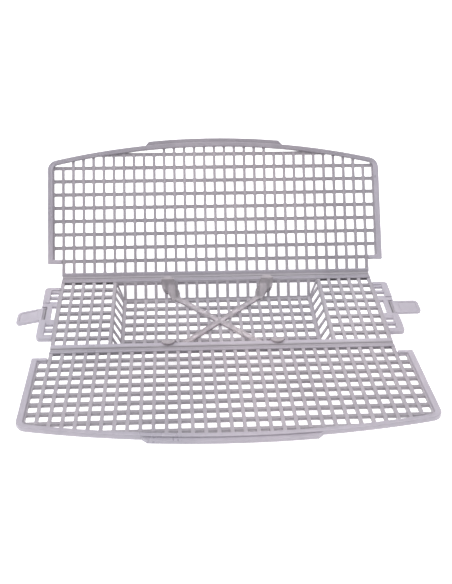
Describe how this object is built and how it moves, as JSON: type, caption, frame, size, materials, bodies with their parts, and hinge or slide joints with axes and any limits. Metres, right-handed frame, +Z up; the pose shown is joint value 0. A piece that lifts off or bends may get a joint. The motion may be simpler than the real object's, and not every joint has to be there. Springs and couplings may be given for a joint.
{
  "type": "queen excluder cage",
  "caption": "Folding mesh cage that keeps a queen bee in or out: a strip with a sunk tray, two large flaps on film hinges, end tongues and a cross brace.",
  "frame": {"origin": "centre of the underside of the tray floor, which the cage stands on", "axes": "+X along the hinge lines towards the right ear, +Y towards the rear flap, +Z up out of the tray"},
  "size_m": [0.2114, 0.1936, 0.071],
  "materials": {
    "mesh_plastic": "translucent frosted polypropylene, slightly lilac grey",
    "frame_plastic": "translucent polypropylene, smoother than the mesh",
    "film_plastic": "stress-whitened hinge film",
    "brace_plastic": "clear plastic with a faint warm tint"
  },
  "bodies": {
    "tray": {"tray_floor": "mesh_plastic", "rear_tray_wall": "mesh_plastic", "front_tray_wall": "mesh_plastic", "left_tray_wall": "mesh_plastic", "right_tray_wall": "mesh_plastic", "left_wing_mesh": "mesh_plastic", "right_wing_mesh": "mesh_plastic", "rear_strip_rail": "frame_plastic", "front_strip_rail": "frame_plastic", "left_ear": "frame_plastic", "right_ear": "frame_plastic", "cross_brace": "brace_plastic", "rear_hinge_film": "film_plastic", "front_hinge_film": "film_plastic", "left_tongue_film": "film_plastic", "right_tongue_film": "film_plastic"},
    "rear_flap": {"rear_flap_mesh": "mesh_plastic", "rear_flap_rail": "frame_plastic", "rear_flap_border": "frame_plastic", "rear_flap_lip": "frame_plastic"},
    "front_flap": {"front_flap_mesh": "mesh_plastic", "front_flap_rail": "frame_plastic", "front_flap_border": "frame_plastic", "front_flap_lip": "frame_plastic"},
    "left_tongue": {"left_tongue": "frame_plastic"},
    "right_tongue": {"right_tongue": "frame_plastic"}
  },
  "joints": [
    {"name": "rear_flap_hinge", "type": "hinge", "parent": "tray", "child": "rear_flap", "pos_m": [0, 0.03288, 0.0098], "axis": [1, 0, 0], "range_deg": [-51.6, 62.9], "deforming": ["rear_hinge_film"]},
    {"name": "front_flap_hinge", "type": "hinge", "parent": "tray", "child": "front_flap", "pos_m": [0, -0.03288, 0.0098], "axis": [-1, 0, 0], "range_deg": [-6.1, 108.4], "deforming": ["front_hinge_film"]},
    {"name": "left_tongue_hinge", "type": "hinge", "parent": "tray", "child": "left_tongue", "pos_m": [-0.091, 0, 0.0088], "axis": [0, 1, 0], "range_deg": [-78, 102], "deforming": ["left_tongue_film"]},
    {"name": "right_tongue_hinge", "type": "hinge", "parent": "tray", "child": "right_tongue", "pos_m": [0.091, 0, 0.0088], "axis": [0, -1, 0], "range_deg": [-90, 90], "deforming": ["right_tongue_film"]}
  ]
}
